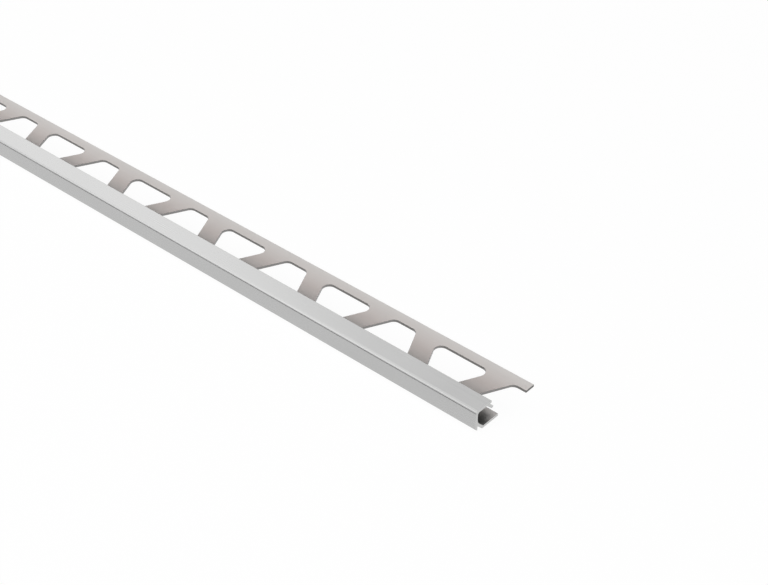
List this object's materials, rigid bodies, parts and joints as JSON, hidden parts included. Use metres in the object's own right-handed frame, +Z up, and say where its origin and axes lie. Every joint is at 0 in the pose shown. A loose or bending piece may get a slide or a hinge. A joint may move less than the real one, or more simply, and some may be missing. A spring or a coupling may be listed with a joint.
{
  "type": "tile edge trim",
  "caption": "Straight square-nosed metal tile edge trim: hollow open-backed nose on a flat anchoring leg perforated with alternating rounded trapezoids.",
  "frame": {"origin": "on the underside of the leg, below the middle of the trim's length and width", "axes": "+X along the trim towards the end that the picture shows, -Y out of the visible front face, +Z up out of the visible top face"},
  "size_m": [2.5, 0.0272, 0.008],
  "materials": {
    "anodised_aluminium": "satin anodised, mill-grey on the leg"
  },
  "bodies": {
    "root": {"edge_trim": "anodised_aluminium"}
  },
  "joints": []
}
